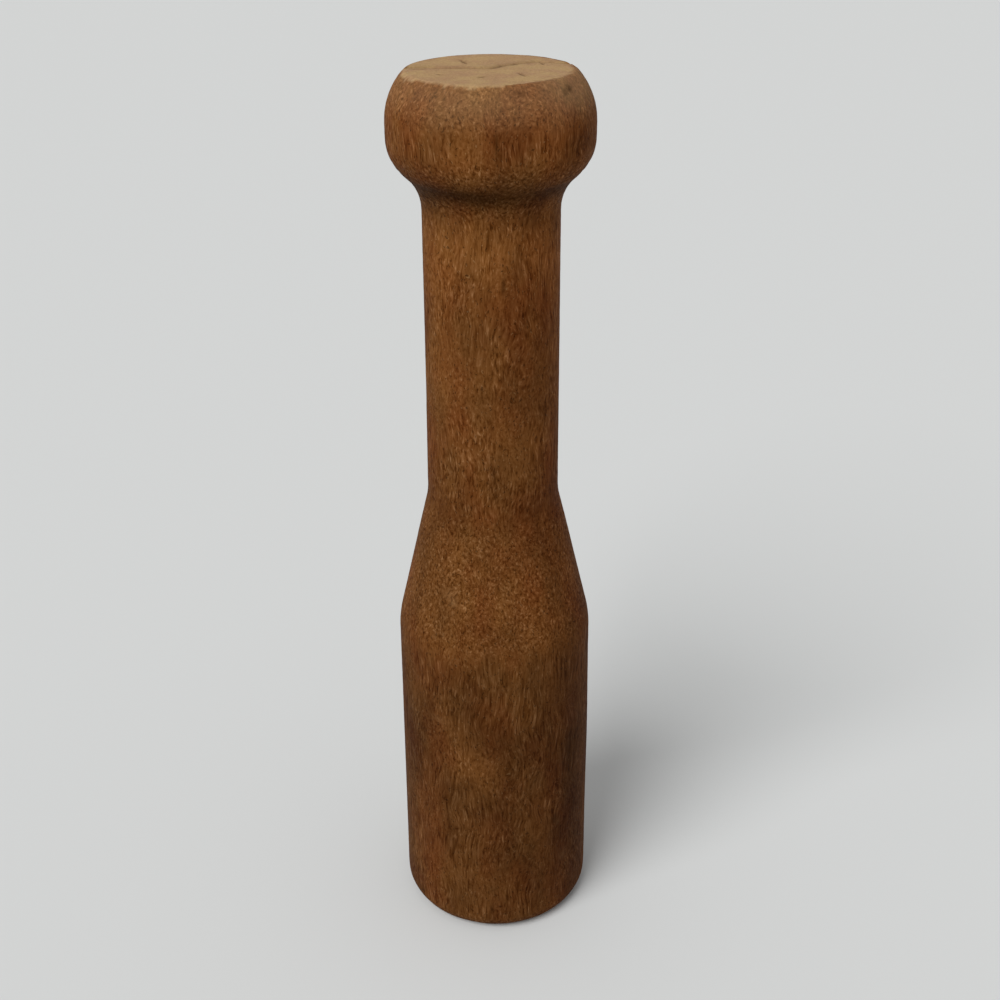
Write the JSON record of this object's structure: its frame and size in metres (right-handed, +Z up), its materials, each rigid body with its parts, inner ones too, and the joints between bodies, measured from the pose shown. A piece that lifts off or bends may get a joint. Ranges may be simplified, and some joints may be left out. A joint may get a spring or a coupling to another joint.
{
  "type": "pestle",
  "caption": "Hand pestle turned from a single piece of hardwood: flat-topped round knob, slim straight neck, cone shoulder and heavier straight body with a flat foot.",
  "frame": {"origin": "centre of the flat foot that the pestle stands on", "axes": "+Z up along the turning axis, from the foot to the knob; +X to the right and +Y to the back in the picture's view"},
  "size_m": [0.0312, 0.0312, 0.1397],
  "materials": {
    "wood": "bare aged hardwood, matt, rubbed smooth by hands, darkened by use"
  },
  "bodies": {
    "root": {"pestle": "wood"}
  },
  "joints": []
}
